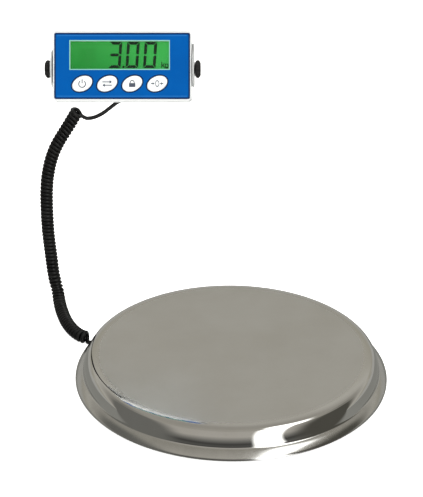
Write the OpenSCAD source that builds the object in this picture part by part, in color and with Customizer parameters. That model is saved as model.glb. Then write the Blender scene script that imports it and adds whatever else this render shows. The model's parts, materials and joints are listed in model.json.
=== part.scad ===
// Round veterinary scale for small animals: a stainless pan on a load cell base, and a
// digital indicator held in a wall bracket by two thumb knobs, joined to it by a curly cord.
// Millimetres. +Z is up, -Y is the front. Origin: centre of the platform on the plane of its feet.

/* [Platform] */
// outside diameter of the pan over its rolled lip
pan_d = 320; // [240:10:420]
// height of the pan's flat top above the table
pan_h = 31.5; // [30:0.5:45]
// thickness of the pan's sheet
pan_t = 1.2; // [0.8:0.1:2]
// diameter of the flat area inside the shoulder
flat_d = 280; // [200:5:380]
// height of the lip's lower edge above the table
lip_z = 5; // [4.8:0.1:8]
// diameter of the base plate over its rim
base_d = 276; // [200:2:300]
// thickness of the base plate
base_t = 2; // [1.5:0.5:3]
// height of the rubber feet
foot_h = 5.5; // [4:0.5:8]
// diameter of the rubber feet
foot_d = 22; // [14:1:30]
// distance between the feet, each way
foot_pitch = 156; // [120:2:170]
// length of the load cell bar
cell_l = 80; // [70:1:90]
// side of the load cell's square section
cell_s = 12.7; // [12:0.1:13]

/* [Indicator] */
// width of the indicator's housing
ind_w = 144; // [140:0.5:150]
// height of the indicator's housing
ind_h = 74.2; // [72:0.2:80]
// width of the coloured face plate
face_w = 141.2; // [130:0.2:142]
// height of the coloured face plate
face_h = 69; // [64:0.2:71]
// width of the display window
window_w = 104.6; // [90:0.2:106]
// height of the display window
window_h = 31; // [26:0.2:32]
// distance between the keys
key_pitch = 26; // [24:0.5:28]
// length of an oval key
key_l = 21.7; // [16:0.1:22]
// width of an oval key
key_w = 14.9; // [10:0.1:15]
// angle of the oval keys
key_turn = 25; // [0:1:30]
// how far the indicator leans back
lean = 26; // [0:1:45]

/* [Bracket] */
// thickness of the bracket's sheet
sheet = 1.5; // [1.5:0.5:3]
// radius of the arms' round ends
arm_r = 19; // [14:1:22]
// distance between the wall screw holes along the wall
wall_hole_x = 100; // [60:5:120]
// distance between the wall screw holes up the wall
wall_hole_z = 26; // [16:1:30]
// diameter of the wall screw holes
wall_hole_d = 5; // [4:0.5:6]
// diameter of the thumb knobs
knob_d = 18.7; // [14:0.1:22]
// thickness of the thumb knobs
knob_t = 6.4; // [5:0.1:10]

/* [Cord] */
// diameter of the cord
cord_d = 4; // [3.5:0.1:5]
// outside diameter of the coil
coil_d = 14.5; // [12:0.1:14.6]

/* [Hidden] */

pr = pan_d / 2;
fr = flat_d / 2;
br = base_d / 2;
fp = foot_pitch / 2;
z1 = foot_h + base_t;           // top of the base plate
zc1 = z1 + 2;                   // underside of the load cell
zc2 = zc1 + cell_s;             // top of the load cell
zs = zc2 + 2;                   // underside of the spider
zs2 = zs + 2;                   // top of the spider
zp = pan_h - pan_t;             // underside of the pan
pad_r = 104;                    // distance of the pads from the centre
spider_r = 111;

pivot = [-113, 159, 278.5];     // middle of the tilt axis
yf = -14;                       // front of the indicator
yj = -6;                        // joint of the two housing halves
yb = 22;                        // back of the indicator
zm = 1.5;                       // middle of the face above the tilt axis
wall = 2;                       // housing wall
taper = 5;                      // how much the rear half narrows at top and bottom
win_x = -2.6;                   // middle of the window from the middle of the face
win_z = zm + 11.4;
key_x = -41.5;                  // first key
key_z = zm - 18.4;
press = 0.8;                    // key travel
scr_x = 64;
scr_z = 26.5;
bolt_r = 2.5;                   // side studs
arm_in = ind_w / 2 + 1;         // inner side of the arms
arm_out = arm_in + sheet;
wall_y = 215;                   // plane of the wall
plate_lo = 240.5;
plate_hi = 288.5;
grip_a = 156.6;                 // direction of the cord's entry into the base
gland_x = 4;                    // cord gland in the indicator's back
gland_z = -23;

// ---- routes of the cords, in millimetres
// on the axis of the gland at the indicator's back, and of the grip at the base's rim
function at_gland(y) = pivot + [gland_x, y * cos(lean) + gland_z * sin(lean), gland_z * cos(lean) - y * sin(lean)];
function at_grip(r) = [r * cos(grip_a), r * sin(grip_a), 10.5];
lead_pts = [at_gland(22.8), at_gland(26), [-109.5, 175, 244], [-112, 176, 241],
  [-116, 175, 238.5], [-121, 172, 237], [-129, 169.5, 231.5], [-136, 166.5, 227],
  [-144.5, 162, 224], [-152.5, 155.5, 225], [-158, 151.5, 230], [-162.5, 150, 234.5]];
coil_pts = [[-162.5, 150, 234.5], [-173, 150.5, 217], [-185, 151, 197.5], [-192.5, 152, 180],
  [-197.5, 153, 160], [-200, 154, 140], [-201, 155, 116], [-201, 156, 90], [-199.5, 156, 64],
  [-197.5, 155, 38], [-194, 152, 20.5], [-189.5, 134, 10], [-181.5, 107, 7.5], [-172.5, 86, 7.5],
  [-164, 73.5, 7.5], [-157.5, 68, 7.5], [-151, 67, 7.5]];
tail_pts = [[-154.5, 68, 2.5], [-151, 67, 2.5], [-146, 64.5, 2.5], [-140.5, 62, 2.5], [-136, 59.5, 4.5],
  [-132.5, 57.5, 8.5], [-130, 56.5, 10], at_grip(140)];
inner_pts = [at_grip(132), [-114, 50, 10.5], [-104, 46, 12.5], [-94, 42, 15], [-82, 40, 15.5]];
cell_pts = [[-14, cell_s / 2 + 1.2, 16], [-14, 12, 15.8], [-20, 20, 15], [-34, 30, 14.5], [-48, 38, 15.2], [-58, 40, 15.5]];

// ---- helpers
module ring_of(n, r, a0 = 0) { for (i = [0 : n - 1]) rotate([0, 0, a0 + 360 * i / n]) translate([r, 0, 0]) children(); }
module corners(a, b) { for (i = [-1, 1], j = [-1, 1]) translate([i * a, j * b, 0]) children(); }
module at_ind() { translate(pivot) rotate([-lean, 0, 0]) children(); }
// a flat shape in x and z, made solid from y0 to y1
module ext_y(y0, y1) { translate([0, y1, 0]) rotate([90, 0, 0]) linear_extrude(y1 - y0) children(); }
// a flat shape in y and z, made solid from x0 to x1
module ext_x(x0, x1) { translate([x0, 0, 0]) rotate([90, 0, 90]) linear_extrude(x1 - x0) children(); }
module cyl_y(r, y0, y1, x = 0, z = 0) { translate([x, y1, z]) rotate([90, 0, 0]) cylinder(r = r, h = y1 - y0, $fn = 40); }
module cyl_x(r, x0, x1, y = 0, z = 0) { translate([x0, y, z]) rotate([0, 90, 0]) cylinder(r = r, h = x1 - x0, $fn = 48); }
module rrect(w, h, r) {
  square([w - 2 * r, h], center = true);
  square([w, h - 2 * r], center = true);
  for (i = [-1, 1], j = [-1, 1]) translate([i * (w / 2 - r), j * (h / 2 - r)]) circle(r = r, $fn = 32);
}
function oval(a, b) = [for (i = [0 : 47]) let (t = i * 7.5) [a * cos(t), b * sin(t)]];
module key_shape(grow = 0) { rotate(key_turn) polygon(oval(key_l / 2 + grow, key_w / 2 + grow)); }
module each_key() { for (i = [0 : 3]) translate([key_x + i * key_pitch, key_z]) children(); }
function cr(p0, p1, p2, p3, t) = 0.5 * (2 * p1 + (p2 - p0) * t + (2 * p0 - 5 * p1 + 4 * p2 - p3) * t * t
  + (3 * p1 - p0 - 3 * p2 + p3) * t * t * t);
function smooth(p, m) = let (n = len(p)) [for (i = [0 : n - 2], k = [0 : m - 1])
  cr(p[max(i - 1, 0)], p[i], p[i + 1], p[min(i + 2, n - 1)], k / m), p[n - 1]];
function unit(v) = v / norm(v);
function tang(p, i) = unit(p[min(i + 1, len(p) - 1)] - p[max(i - 1, 0)]);
// a tube of radius r along the route p, with s sides
module tube(p, r, s, ref) {
  n = len(p);
  pts = [for (i = [0 : n - 1]) let (t = tang(p, i), u = unit(cross(t, ref)), v = cross(t, u))
    for (k = [0 : s - 1]) p[i] + r * (cos(360 * k / s) * u + sin(360 * k / s) * v)];
  faces = concat([[for (k = [0 : s - 1]) k]], [[for (k = [s - 1 : -1 : 0]) (n - 1) * s + k]],
    [for (i = [0 : n - 2], k = [0 : s - 1]) [i * s + k, (i + 1) * s + k, (i + 1) * s + (k + 1) % s]],
    [for (i = [0 : n - 2], k = [0 : s - 1]) [i * s + k, (i + 1) * s + (k + 1) % s, i * s + (k + 1) % s]]);
  polyhedron(pts, faces, convexity = 8);
}

// ---- pan
sc = [fr, 13.5];                                  // middle of the shoulder's curve
sa = pr - 8.5 - fr;
sb = pan_h - 13.5;
lr = 18.8;                                        // radius of the lip's broad curve
er = 3.2;                                         // radius of the lip's outer edge
ez = lip_z + 1.3;                                 // middle of that edge's curve
lc = [pr - er + (er - lr) * cos(40), ez + (er - lr) * sin(40)];
function arc(c, a, b, t0, t1, n) = [for (i = [0 : n]) let (t = t0 + (t1 - t0) * i / n) [c[0] + a * cos(t), c[1] + b * sin(t)]];
module weighing_pan() color([0.72, 0.71, 0.68]) rotate_extrude($fn = 180) polygon(concat(
  [[0, zp], [0, pan_h]],
  arc(sc, sa, sb, 90, 6, 24),
  [[pr - 8.45, 14.9], [pr - 8.35, 14.4], [pr - 8.2, 14]],
  arc(lc, lr, lr, 67, 40, 12),
  arc([pr - er, ez], er, er, 34, 0, 6),
  [[pr, lip_z + 0.3], [pr - 0.25, lip_z], [pr - pan_t + 0.25, lip_z], [pr - pan_t, lip_z + 0.3]],
  arc([pr - er, ez], er - pan_t, er - pan_t, 0, 34, 6),
  arc(lc, lr - pan_t, lr - pan_t, 40, 66, 10),
  [[pr - 9.2, 13.5], [pr - 9.6, 14.3]],
  arc(sc, sa - pan_t, sb - pan_t, 6, 90, 20)));
module pan_collar() color([0.6, 0.6, 0.6]) translate([0, 0, zs + 0.3]) difference() {
  cylinder(r = spider_r + 3, h = zp - zs - 0.3, $fn = 120);
  translate([0, 0, -1]) cylinder(r = spider_r + 1.5, h = zp, $fn = 120);
}

// ---- base
module base_plate() color([0.55, 0.56, 0.58]) difference() {
  union() {
    translate([0, 0, foot_h]) cylinder(r = br, h = base_t, $fn = 120);
    translate([0, 0, foot_h]) difference() {
      cylinder(r = br, h = 10.5, $fn = 120);
      translate([0, 0, 1]) cylinder(r = br - 2, h = 12, $fn = 120);
    }
  }
  corners(fp, fp) translate([0, 0, 3]) cylinder(r = 2.55, h = 8, $fn = 32);
  corners(62, 62) translate([0, 0, 3]) cylinder(r = 3.05, h = 8, $fn = 32);
  for (x = [-35, -25]) translate([x, 0, 3]) cylinder(r = 2.05, h = 8, $fn = 32);
  rotate([0, 0, grip_a]) cyl_x(3.4, br - 6, br + 4, 0, 10.5);
}
module rubber_feet() color([0.06, 0.06, 0.06]) corners(fp, fp) difference() {
  union() {
    cylinder(r1 = foot_d / 2 - 1.5, r2 = foot_d / 2, h = 1.5, $fn = 40);
    translate([0, 0, 1.5]) cylinder(r = foot_d / 2, h = foot_h - 1.5, $fn = 40);
  }
  translate([0, 0, -1]) cylinder(r = 5.2, h = 3.2, $fn = 32);
  translate([0, 0, 1]) cylinder(r = 2.55, h = 6, $fn = 32);
}
module foot_screws() color([0.7, 0.7, 0.72]) corners(fp, fp) {
  translate([0, 0, 0.6]) cylinder(r = 4.6, h = 1.6, $fn = 32);
  translate([0, 0, 2.2]) cylinder(r = 2.5, h = 9, $fn = 32);
  translate([0, 0, z1]) cylinder(r = 4.4, h = 3.2, $fn = 6);
}
module load_cell() color([0.75, 0.76, 0.78]) difference() {
  translate([-cell_l / 2, -cell_s / 2, zc1]) cube([cell_l, cell_s, cell_s]);
  for (x = [-8, 8]) cyl_y(4.4, -10, 10, x, (zc1 + zc2) / 2);
  translate([-8, -10, (zc1 + zc2) / 2 - 1.4]) cube([16, 20, 2.8]);
  for (x = [-35, -25]) translate([x, 0, zc1 - 1]) cylinder(r = 2.05, h = 9, $fn = 32);
  for (x = [25, 35]) translate([x, 0, zc2 - 8]) cylinder(r = 2.05, h = 9, $fn = 32);
}
module cell_sealant() color([0.85, 0.85, 0.8]) for (s = [-1, 1]) translate([-19, s > 0 ? cell_s / 2 : -cell_s / 2 - 1.2, zc1 + 1.5]) cube([38, 1.2, cell_s - 3]);
module cell_spacers() color([0.5, 0.5, 0.52]) difference() {
  union() {
    translate([-40, -8, z1]) cube([21, 16, 2]);
    translate([19, -8, zc2]) cube([21, 16, 2]);
  }
  for (x = [-35, -25, 25, 35]) translate([x, 0, 2]) cylinder(r = 2.05, h = 26, $fn = 32);
}
module cell_bolts() color([0.3, 0.3, 0.32]) {
  for (x = [-35, -25]) translate([x, 0, 0]) {
    translate([0, 0, foot_h - 2.4]) cylinder(r = 3.8, h = 2.4, $fn = 32);
    translate([0, 0, foot_h]) cylinder(r = 2, h = 11, $fn = 32);
  }
  for (x = [25, 35]) translate([x, 0, 0]) {
    translate([0, 0, zs2]) cylinder(r = 3.8, h = 2.4, $fn = 32);
    translate([0, 0, zc2 - 7]) cylinder(r = 2, h = zs2 - zc2 + 7, $fn = 32);
  }
}
module load_spider() color([0.5, 0.52, 0.55]) difference() {
  union() {
    for (a = [45, -45]) rotate([0, 0, a]) translate([-spider_r, -14, zs]) cube([2 * spider_r, 28, 2]);
    translate([0, 0, zs]) cylinder(r = 46, h = 2, $fn = 64);
    for (a = [45, -45], s = [-1, 1]) rotate([0, 0, a]) translate([-spider_r + 16, s > 0 ? 12 : -14, zs - 4]) cube([2 * spider_r - 32, 2, 4.5]);
  }
  translate([0, 0, zs - 6]) cylinder(r = 34, h = 6, $fn = 64);
  for (x = [25, 35]) translate([x, 0, zs - 1]) cylinder(r = 2.05, h = 4, $fn = 32);
}
module spider_pads() color([0.1, 0.1, 0.1]) ring_of(4, pad_r - 8, 45) translate([0, 0, zs2]) {
  cylinder(r = 8, h = 3.1, $fn = 40);
  translate([0, 0, 3.1]) cylinder(r1 = 8, r2 = 7, h = zp - zs2 - 3.2, $fn = 40);
}
module overload_stops() color([0.68, 0.66, 0.6]) corners(62, 62) {
  translate([0, 0, foot_h - 0.5]) cylinder(r = 3, h = zs - foot_h, $fn = 32);
  translate([0, 0, z1]) cylinder(r = 5, h = 4, $fn = 6);
}
module junction_board() color([0.05, 0.35, 0.18]) difference() {
  translate([-90, 28, 10.5]) cube([40, 28.5, 1.6]);
  for (x = [-86, -54], y = [32, 54]) translate([x, y, 9]) cylinder(r = 1.55, h = 5, $fn = 24);
}
module board_standoffs() color([0.8, 0.75, 0.45]) for (x = [-86, -54], y = [32, 54]) translate([x, y, z1]) {
  cylinder(r = 2.8, h = 3, $fn = 6);
  translate([0, 0, 3]) cylinder(r = 1.5, h = 2.6, $fn = 24);
}
module terminal_block() color([0.1, 0.45, 0.25]) difference() {
  translate([-82, 34, 12.1]) cube([24, 12, 8]);
  for (i = [0 : 3]) translate([-79 + i * 6, 40, 18]) cylinder(r = 1.8, h = 4, $fn = 24);
}
module base_cord_grip() color([0.05, 0.05, 0.05]) rotate([0, 0, grip_a]) difference() {
  union() {
    cyl_x(3.3, br - 4, br + 1, 0, 10.5);
    cyl_x(4.6, br - 6, br - 2.4, 0, 10.5);
    cyl_x(4.4, br + 0.05, br + 2, 0, 10.5);
  }
  translate([br - 8, -10, 0]) cube([7.5, 20, z1 + 0.1]);
}

// ---- wall bracket
module arm_side() difference() {
  union() {
    translate([pivot[1], pivot[2]]) circle(r = arm_r, $fn = 64);
    polygon([[pivot[1] + 1, pivot[2] + arm_r], [wall_y, plate_hi], [wall_y, plate_lo], [pivot[1] - 2, pivot[2] - arm_r]]);
  }
  translate([pivot[1], pivot[2]]) circle(r = bolt_r + 0.5, $fn = 48);
}
module wall_bracket() color([0.42, 0.43, 0.45]) difference() {
  union() {
    translate([pivot[0], 0, 0]) ext_x(arm_in, arm_out) arm_side();
    translate([pivot[0], 0, 0]) ext_x(-arm_out, -arm_in) arm_side();
    translate([pivot[0] - arm_out, wall_y - sheet, plate_lo]) cube([2 * arm_out, sheet, plate_hi - plate_lo]);
  }
  translate([pivot[0], wall_y + 1, (plate_lo + plate_hi) / 2]) for (i = [-1, 1], j = [-1, 1])
    translate([i * wall_hole_x / 2, 0, j * wall_hole_z / 2]) rotate([90, 0, 0]) cylinder(r = wall_hole_d / 2, h = 6, $fn = 40);
}

// ---- indicator, drawn upright about the tilt axis
module outline(grow = 0) translate([0, zm]) rrect(ind_w + 2 * grow, ind_h + 2 * grow, 5 + grow);
module rear_outer() intersection() {
  ext_y(yj + 0.05, yb) outline();
  ext_x(-ind_w, ind_w) polygon([[yj, zm - ind_h / 2], [yb, zm - ind_h / 2 + taper], [yb, zm + ind_h / 2 - taper], [yj, zm + ind_h / 2]]);
}
module rear_inner() intersection() {
  ext_y(yj - 1, yb - wall) translate([0, zm]) rrect(ind_w - 2 * wall, ind_h - 2 * wall, 3);
  ext_x(-ind_w, ind_w) polygon([[yj - 1, zm - ind_h / 2 + wall], [yb, zm - ind_h / 2 + taper + wall], [yb, zm + ind_h / 2 - taper - wall], [yj - 1, zm + ind_h / 2 - wall]]);
}
module front_housing() color([0.93, 0.93, 0.91]) at_ind() difference() {
  union() {
    difference() {
      ext_y(yf, yj) outline();
      ext_y(yf + 2.7, yj + 1) translate([0, zm]) rrect(ind_w - 2 * wall, ind_h - 2 * wall, 3);
    }
    for (i = [-1, 1], j = [-1, 1]) cyl_y(3.5, yf + 2.5, yj, i * scr_x, zm + j * scr_z);
  }
  ext_y(yf - 1, yf + 0.7) translate([0, zm]) rrect(face_w, face_h, 2);
  ext_y(yf - 1, yf + 4) translate([win_x, win_z]) square([window_w - 2, window_h - 2], center = true);
  ext_y(yf - 1, yf + 4) each_key() key_shape(0.45);
  for (i = [-1, 1], j = [-1, 1]) cyl_y(1.5, yj - 4.6, yj + 1, i * scr_x, zm + j * scr_z);
}
module rear_housing() color([0.92, 0.92, 0.9]) at_ind() difference() {
  union() {
    difference() { rear_outer(); rear_inner(); }
    for (i = [-1, 1], j = [-1, 1]) cyl_y(3.8, yj + 0.05, yb - 1, i * scr_x, zm + j * scr_z);
    cyl_x(7, ind_w / 2 - 10, ind_w / 2 - 1);
    cyl_x(7, -ind_w / 2 + 1, -ind_w / 2 + 10);
  }
  for (i = [-1, 1], j = [-1, 1]) {
    cyl_y(1.6, yj - 1, yb + 1, i * scr_x, zm + j * scr_z);
    cyl_y(3, 12, yb + 1, i * scr_x, zm + j * scr_z);
  }
  cyl_x(4.2, ind_w / 2 - 11, ind_w / 2 + 1);
  cyl_x(4.2, -ind_w / 2 - 1, -ind_w / 2 + 11);
  ext_y(yb - 5, yb + 1) translate([0, zm]) rrect(108, 34, 2);
  cyl_y(3.05, yb - 6, yb + 1, gland_x, gland_z);
}
module face_plate() color([0, 0.36, 0.68]) at_ind() difference() {
  ext_y(yf + 0.1, yf + 0.7) translate([0, zm]) rrect(face_w, face_h, 2);
  ext_y(yf - 1, yf + 2) translate([win_x, win_z]) square([window_w, window_h], center = true);
  ext_y(yf - 1, yf + 2) each_key() key_shape(0.45);
}
module window_border() color([0.6, 0.85, 0.75]) at_ind() difference() {
  ext_y(yf + 0.1, yf + 0.7) translate([win_x, win_z]) square([window_w, window_h], center = true);
  ext_y(yf - 1, yf + 2) translate([win_x, win_z]) square([window_w - 2, window_h - 2], center = true);
}
module display_window() color([0.8, 0.9, 0.85, 0.3]) at_ind()
  ext_y(yf + 0.2, yf + 1.2) translate([win_x, win_z]) square([window_w - 2, window_h - 2], center = true);
module display_glass() color([0.2, 0.6, 0.28]) at_ind()
  ext_y(yf + 2.8, yf + 4.6) translate([win_x, win_z]) square([108, 35], center = true);
// seven-segment figures
dw = 13.1; dh = 27.3; ds = 3; de = 0.4;
function sl(p) = [for (q = p) [q[0] + q[1] * tan(4), q[1]]];
seg_a = [[-dw / 2 + de, dh / 2], [dw / 2 - de, dh / 2], [dw / 2 - ds - de, dh / 2 - ds], [-dw / 2 + ds + de, dh / 2 - ds]];
seg_b = [[dw / 2, dh / 2 - de], [dw / 2, 1], [dw / 2 - ds / 2, 0.5], [dw / 2 - ds, 1.6], [dw / 2 - ds, dh / 2 - ds - de]];
seg_g = [[-dw / 2 + 0.9, 0], [-dw / 2 + ds - 0.4, ds / 2], [dw / 2 - ds - 0.8, ds / 2], [dw / 2 - ds + 0.6, 0], [dw / 2 - ds - 0.8, -ds / 2], [-dw / 2 + ds - 0.4, -ds / 2]];
function fx(p) = [for (q = p) [-q[0], q[1]]];
function fz(p) = [for (q = p) [q[0], -q[1]]];
module segs(list) for (p = list) polygon(sl(p));
module display_digits() color([0.02, 0.14, 0.04]) at_ind() ext_y(yf + 2.5, yf + 2.8) translate([0, win_z + 0.35]) {
  translate([-7.4, 0]) segs([seg_a, seg_b, seg_g, fz(seg_b), fz(seg_a)]);
  for (x = [10.8, 29]) translate([x, 0]) segs([seg_a, seg_b, fz(seg_b), fz(seg_a), fx(seg_b), fx(fz(seg_b))]);
  translate([1.3, -12.5]) circle(r = 1.25, $fn = 24);
  // unit sign
  translate([40.7, -13.4]) {
    polygon([[0, 0], [0.9, 0], [0.9, 1.6], [1.5, 2.2], [3, 0], [4.1, 0], [2.1, 2.9], [3.9, 4.6], [2.7, 4.6], [0.9, 2.8], [0.9, 6.4], [0, 6.4]]);
  }
  translate([46.2, -11.1]) {
    difference() {
      polygon([[-1.8, -1.2], [-1.1, -1.9], [1.1, -1.9], [1.1, -2.1], [-1.4, -2.1], [-1.4, -2.9], [1.2, -2.9], [1.9, -2.2], [1.9, 1.9], [-1.1, 1.9], [-1.8, 1.2]]);
      polygon([[-1, -0.9], [-0.8, -1.1], [1.1, -1.1], [1.1, 1.1], [-0.8, 1.1], [-1, 0.9]]);
    }
  }
}
module display_backlight() color([0.85, 0.95, 0.85]) at_ind()
  ext_y(yf + 4.6, yf + 7.1) translate([win_x, win_z]) square([106, 33.5], center = true);
module display_frame() color([0.9, 0.9, 0.9]) at_ind() difference() {
  ext_y(yf + 2.7, yf + 8.3) translate([win_x, win_z]) rrect(112, 39, 1.5);
  ext_y(yf + 2, yf + 7.1) translate([win_x, win_z]) square([108, 35], center = true);
  ext_y(yf + 7, yf + 9) translate([win_x, win_z]) square([100, 28], center = true);
}
module main_board() color([0.04, 0.3, 0.15]) at_ind() difference() {
  ext_y(yf + 8.5, yf + 10.1) translate([0, zm]) square([118, 62], center = true);
  for (i = [-1, 1], j = [-1, 1]) cyl_y(1.6, yf + 8, yf + 11, i * 55, zm + j * 27);
}
module board_parts() color([0.08, 0.08, 0.08]) at_ind() {
  ext_y(yf + 10.1, yf + 12) translate([-10, zm + 6]) square([14, 14], center = true);
  ext_y(yf + 10.1, yf + 11.8) translate([20, zm + 8]) square([8, 5], center = true);
  ext_y(yf + 10.1, yf + 11.8) translate([20, zm - 8]) square([10, 7], center = true);
  ext_y(yf + 10.1, yf + 13.5) translate([-38, zm - 20]) rrect(12, 5, 1);
}
module sounder() color([0.12, 0.12, 0.12]) at_ind() difference() {
  cyl_y(6, yf + 10.1, yf + 14.6, 48, zm + 18);
  cyl_y(1, yf + 13, yf + 15, 48, zm + 18);
}
module key_switches() color([0.2, 0.2, 0.2]) at_ind() for (i = [0 : 3]) {
  ext_y(yf + 7.8, yf + 8.5) translate([key_x + i * key_pitch, key_z]) square([6, 6], center = true);
  cyl_y(1.7, yf + 7.5, yf + 7.8, key_x + i * key_pitch, key_z);
}
module key(i) color([0.95, 0.97, 0.98]) at_ind() translate([key_x + i * key_pitch, 0, key_z]) {
  ext_y(yf - 0.6, yf + 3.3) key_shape();
  ext_y(yf + 3.3, yf + 4.3) key_shape(1.2);
  cyl_y(2, yf + 4.3, yf + 6.4);
}
module key_power() key(0);
module key_unit() key(1);
module key_hold() key(2);
module key_tare() key(3);
module side_inserts() color([0.78, 0.62, 0.3]) at_ind() difference() {
  union() { cyl_x(4.2, ind_w / 2 - 10, ind_w / 2); cyl_x(4.2, -ind_w / 2, -ind_w / 2 + 10); }
  cyl_x(bolt_r + 0.06, ind_w / 2 - 9, ind_w / 2 + 1);
  cyl_x(bolt_r + 0.06, -ind_w / 2 - 1, -ind_w / 2 + 9);
}
module side_washers() color([0.9, 0.9, 0.86]) at_ind() difference() {
  union() { cyl_x(9, ind_w / 2, ind_w / 2 + 0.7); cyl_x(9, -ind_w / 2 - 0.7, -ind_w / 2); }
  cyl_x(3, -ind_w, ind_w);
}
module housing_screws() color([0.6, 0.6, 0.62]) at_ind() for (i = [-1, 1], j = [-1, 1]) {
  cyl_y(2.7, 12, 14, i * scr_x, zm + j * scr_z);
  cyl_y(1.45, yj - 4.4, 12, i * scr_x, zm + j * scr_z);
}
module battery_tray() color([0.15, 0.15, 0.16]) at_ind() difference() {
  ext_y(2.5, 20) translate([0, zm]) rrect(112, 38, 2);
  ext_y(4, 21) translate([0, zm]) rrect(109, 33, 1);
}
module battery_cells() color([0.75, 0.62, 0.25]) at_ind() for (i = [-1, 1], j = [-1, 1]) translate([i * 26, 11.4, zm + j * 7.7]) {
  cyl_x(7.1, -24.5, 24.3);
  cyl_x(2.7, 24.3, 25.3);
}
module battery_contacts() color([0.8, 0.8, 0.8]) at_ind() for (i = [-1, 1], j = [-1, 1]) {
  translate([i > 0 ? 54 : -54.5, 7, zm + j * 7.7 - 5]) cube([0.5, 9, 10]);
  cyl_x(3, i > 0 ? 51.8 : -54, i > 0 ? 54 : -51.2, 11.4, zm + j * 7.7);
}
module battery_cover() color([0.9, 0.9, 0.88]) at_ind() difference() {
  ext_y(20.4, 22) translate([0, zm]) rrect(107.2, 33.2, 1.6);
  for (i = [-2 : 2]) ext_y(21.5, 23) translate([40, zm + i * 3]) square([12, 1.2], center = true);
}
module indicator_cord_gland() color([0.05, 0.05, 0.05]) at_ind() {
  cyl_y(3.6, yb, yb + 0.3, gland_x, gland_z);
  cyl_y(3, yb - wall - 0.5, yb, gland_x, gland_z);
  cyl_y(4.4, yb - wall - 2.2, yb - wall - 0.05, gland_x, gland_z);
}

// ---- thumb knobs, drawn outwards along +x from the arm
module knob_body() difference() {
  rotate([0, 90, 0]) rotate_extrude($fn = 64) polygon([[0, 0], [4.8, 0], [4.8, 0.5], [6.6, 0.5], [7.2, 0.9], [knob_d / 2 - 0.6, 1.9], [knob_d / 2, 2.5],
    [knob_d / 2, knob_t - 1.5], [knob_d / 2 - 0.6, knob_t - 0.9], [7.2, knob_t + 0.1], [6.4, knob_t + 0.5], [0, knob_t + 0.5]]);
  for (a = [0 : 7]) rotate([a * 45 + 22.5, 0, 0]) cyl_x(2.6, -1, knob_t + 1, 0, knob_d / 2 + 1.5);
  cyl_x(bolt_r, -1, knob_t - 2);
}
module stud_body() cyl_x(bolt_r, -11.5, knob_t - 2);
module knob_left() color([0.03, 0.03, 0.03]) at_ind() translate([-arm_out - 0.3, 0, 0]) rotate([0, 0, 180]) knob_body();
module knob_right() color([0.03, 0.03, 0.03]) at_ind() translate([arm_out + 0.3, 0, 0]) knob_body();
module knob_stud_left() color([0.6, 0.6, 0.62]) at_ind() translate([-arm_out - 0.3, 0, 0]) rotate([0, 0, 180]) stud_body();
module knob_stud_right() color([0.6, 0.6, 0.62]) at_ind() translate([arm_out + 0.3, 0, 0]) stud_body();

// ---- cords
module cord_lead() color([0.03, 0.03, 0.03]) tube(smooth(lead_pts, 2), cord_d / 2, 8, [0, 1, 0]);
module cord_coil() color([0.03, 0.03, 0.03]) tube(smooth(coil_pts, 2), coil_d / 2, 12, [1, 0, 0]);
module cord_tail() color([0.03, 0.03, 0.03]) tube(tail_pts, cord_d / 2, 8, [0, 0, 1]);
module inner_cord() color([0.03, 0.03, 0.03]) tube(inner_pts, cord_d / 2, 8, [0, 0, 1]);
module cell_cable() color([0.5, 0.5, 0.5]) tube(cell_pts, 1.5, 8, [0, 0, 1]);

weighing_pan();
pan_collar();
base_plate();
rubber_feet();
foot_screws();
load_cell();
cell_sealant();
cell_spacers();
cell_bolts();
load_spider();
spider_pads();
overload_stops();
junction_board();
board_standoffs();
terminal_block();
cell_cable();
inner_cord();
base_cord_grip();
wall_bracket();
front_housing();
rear_housing();
face_plate();
window_border();
display_window();
display_glass();
display_digits();
display_backlight();
display_frame();
main_board();
board_parts();
sounder();
key_switches();
key_power();
key_unit();
key_hold();
key_tare();
side_inserts();
side_washers();
housing_screws();
battery_tray();
battery_cells();
battery_contacts();
battery_cover();
indicator_cord_gland();
knob_left();
knob_right();
knob_stud_left();
knob_stud_right();
cord_lead();
cord_coil();
cord_tail();
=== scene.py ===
import json
import math

import bmesh
import bpy
from mathutils import Matrix, Vector


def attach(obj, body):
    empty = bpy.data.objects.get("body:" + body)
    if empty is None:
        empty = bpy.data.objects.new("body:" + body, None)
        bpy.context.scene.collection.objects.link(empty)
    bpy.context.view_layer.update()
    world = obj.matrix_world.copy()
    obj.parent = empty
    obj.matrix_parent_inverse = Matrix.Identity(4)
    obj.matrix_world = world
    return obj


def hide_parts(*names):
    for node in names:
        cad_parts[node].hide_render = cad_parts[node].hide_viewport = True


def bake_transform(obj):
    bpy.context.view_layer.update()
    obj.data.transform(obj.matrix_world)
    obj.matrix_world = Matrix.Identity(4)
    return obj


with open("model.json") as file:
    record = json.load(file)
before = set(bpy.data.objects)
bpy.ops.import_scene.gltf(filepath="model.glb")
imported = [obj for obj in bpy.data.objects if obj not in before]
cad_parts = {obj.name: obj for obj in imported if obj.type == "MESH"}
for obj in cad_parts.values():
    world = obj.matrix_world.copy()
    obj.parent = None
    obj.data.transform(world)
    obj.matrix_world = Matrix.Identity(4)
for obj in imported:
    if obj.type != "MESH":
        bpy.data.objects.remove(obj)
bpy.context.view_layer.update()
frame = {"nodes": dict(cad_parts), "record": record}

NODES = frame["nodes"]
BODY = {}
for b, members in frame["record"]["behaviour"]["bodies"].items():
    for m in members:
        BODY[m] = b
MM = 0.001
rad = math.radians


def V(*p):
    return Vector(p) * MM


# ------------------------------------------------------------------ camera
cam_data = bpy.data.cameras.new("camera")
cam_data.lens = 97.99
cam_data.sensor_width = 36.0
cam_data.clip_start, cam_data.clip_end = 0.05, 60
cam = bpy.data.objects.new("camera", cam_data)
cam.location = V(-20.08, -1199.02, 734.64)
cam.rotation_euler = (rad(90 - 26.12), 0, 0)
bpy.context.scene.collection.objects.link(cam)
bpy.context.scene.camera = cam

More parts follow.
